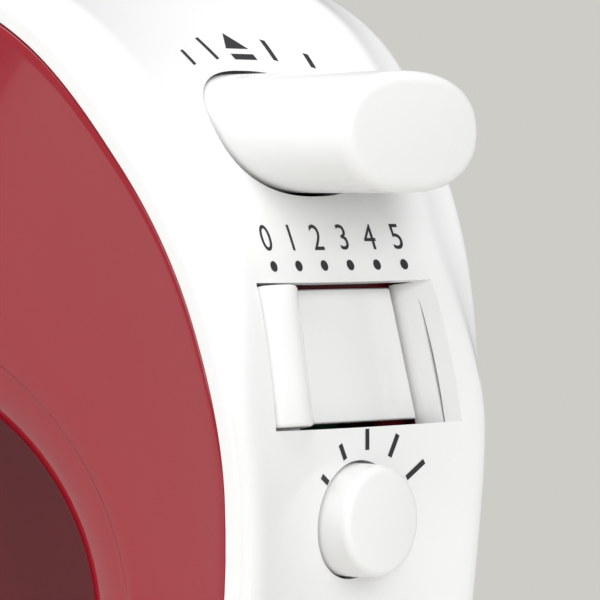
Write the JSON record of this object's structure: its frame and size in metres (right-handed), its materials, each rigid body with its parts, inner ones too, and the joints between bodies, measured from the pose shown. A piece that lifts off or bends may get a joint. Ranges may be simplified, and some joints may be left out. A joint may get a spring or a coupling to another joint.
{
  "type": "hand mixer",
  "caption": "Hand mixer standing on its heel: white spine with eject, speed and turbo controls, red sides, finger opening, motor, gearbox and beaters.",
  "frame": {"origin": "in the flat heel face, under the centre of the round nose", "axes": "+Z from heel to nose, +X towards the grip's spine, -X towards the beaters, +Y across the case"},
  "size_m": [0.244, 0.076, 0.196],
  "materials": {
    "white_case": "high gloss moulded ABS",
    "white_control": "gloss moulded ABS",
    "red_panel": "high gloss moulded ABS",
    "red_carrier": "plain moulded ABS",
    "spring_steel": "drawn",
    "laminated_steel": "stacked sheet",
    "chrome_wire": "polished",
    "copper_wire": "lacquered copper",
    "brass": "turned",
    "carbon": "pressed carbon",
    "black_plastic": "fine grain",
    "nylon": "moulded nylon",
    "board_green": "lacquered board",
    "capacitor_yellow": "cast resin",
    "aluminium": "extruded",
    "legend_ink": "pad print"
  },
  "bodies": {
    "housing": {"spine_cover": "white_case", "belly_housing": "white_case", "side_panel_left": "red_panel", "side_panel_right": "red_panel", "grip_liner": "red_panel", "switch_carrier": "red_carrier", "slider_plate": "white_control", "detent_leaf": "spring_steel", "speed_board": "board_green", "suppression_capacitor": "capacitor_yellow", "heat_sink": "aluminium", "eject_guide": "nylon", "eject_spring": "spring_steel", "turbo_spring": "spring_steel", "turbo_switch": "black_plastic", "stator_core": "laminated_steel", "field_coil_left": "copper_wire", "field_coil_right": "copper_wire", "brush_holder_left": "brass", "brush_holder_right": "brass", "carbon_brush_left": "carbon", "carbon_brush_right": "carbon", "rear_bearing": "brass", "middle_bearing": "brass", "front_bearing": "brass", "motor_bracket": "nylon", "gearbox_frame": "nylon", "lower_bushes": "brass", "upper_bushes": "brass", "socket_collar_left": "white_case", "socket_collar_right": "white_case", "cord_inlet": "black_plastic", "case_screws": "spring_steel", "bracket_screws": "spring_steel"},
    "eject": {"eject_button": "white_control", "eject_yoke": "spring_steel"},
    "slider": {"speed_slider": "white_control", "slider_wiper": "brass"},
    "turbo": {"turbo_button": "white_control"},
    "motor": {"armature_core": "laminated_steel", "armature_winding": "copper_wire", "commutator": "copper_wire", "motor_shaft": "spring_steel", "worm": "spring_steel", "cooling_fan": "nylon"},
    "drive_left": {"worm_wheel_left": "nylon", "spindle_left": "spring_steel"},
    "drive_right": {"worm_wheel_right": "nylon", "spindle_right": "spring_steel"},
    "whisk_left": {"beater_left": "chrome_wire"},
    "whisk_right": {"beater_right": "chrome_wire"}
  },
  "joints": [
    {"name": "motor_spin", "type": "hinge", "parent": "housing", "child": "motor", "pos_m": [-0.032, 0, 0.1], "axis": [0, 0, 1], "continuous": true},
    {"name": "drive_left_spin", "type": "hinge", "parent": "housing", "child": "drive_left", "pos_m": [-0.034, -0.018, 0.158], "axis": [1, 0, 0], "continuous": true},
    {"name": "drive_right_spin", "type": "hinge", "parent": "housing", "child": "drive_right", "pos_m": [-0.034, 0.018, 0.158], "axis": [1, 0, 0], "continuous": true},
    {"name": "eject_press", "type": "slide", "parent": "housing", "child": "eject", "axis": [-1, 0, 0], "range_m": [0, 0.008], "stiffness_N_per_m": 600, "deforming": ["eject_spring"]},
    {"name": "whisk_left_eject", "type": "slide", "parent": "drive_left", "child": "whisk_left", "axis": [-1, 0, 0], "range_m": [0, 0.008]},
    {"name": "whisk_right_eject", "type": "slide", "parent": "drive_right", "child": "whisk_right", "axis": [-1, 0, 0], "range_m": [0, 0.008]},
    {"name": "speed_slide", "type": "slide", "parent": "housing", "child": "slider", "axis": [0, 1, 0], "range_m": [0, 0.022]},
    {"name": "turbo_press", "type": "slide", "parent": "housing", "child": "turbo", "axis": [-1, 0, 0], "range_m": [0, 0.0022], "stiffness_N_per_m": 500, "deforming": ["turbo_spring"]}
  ],
  "couplings": [
    {"joint": "drive_left_spin", "follows": "motor_spin", "ratio": 0.066667},
    {"joint": "drive_right_spin", "follows": "motor_spin", "ratio": -0.066667},
    {"joint": "whisk_left_eject", "follows": "eject_press", "ratio": 1},
    {"joint": "whisk_right_eject", "follows": "eject_press", "ratio": 1}
  ]
}
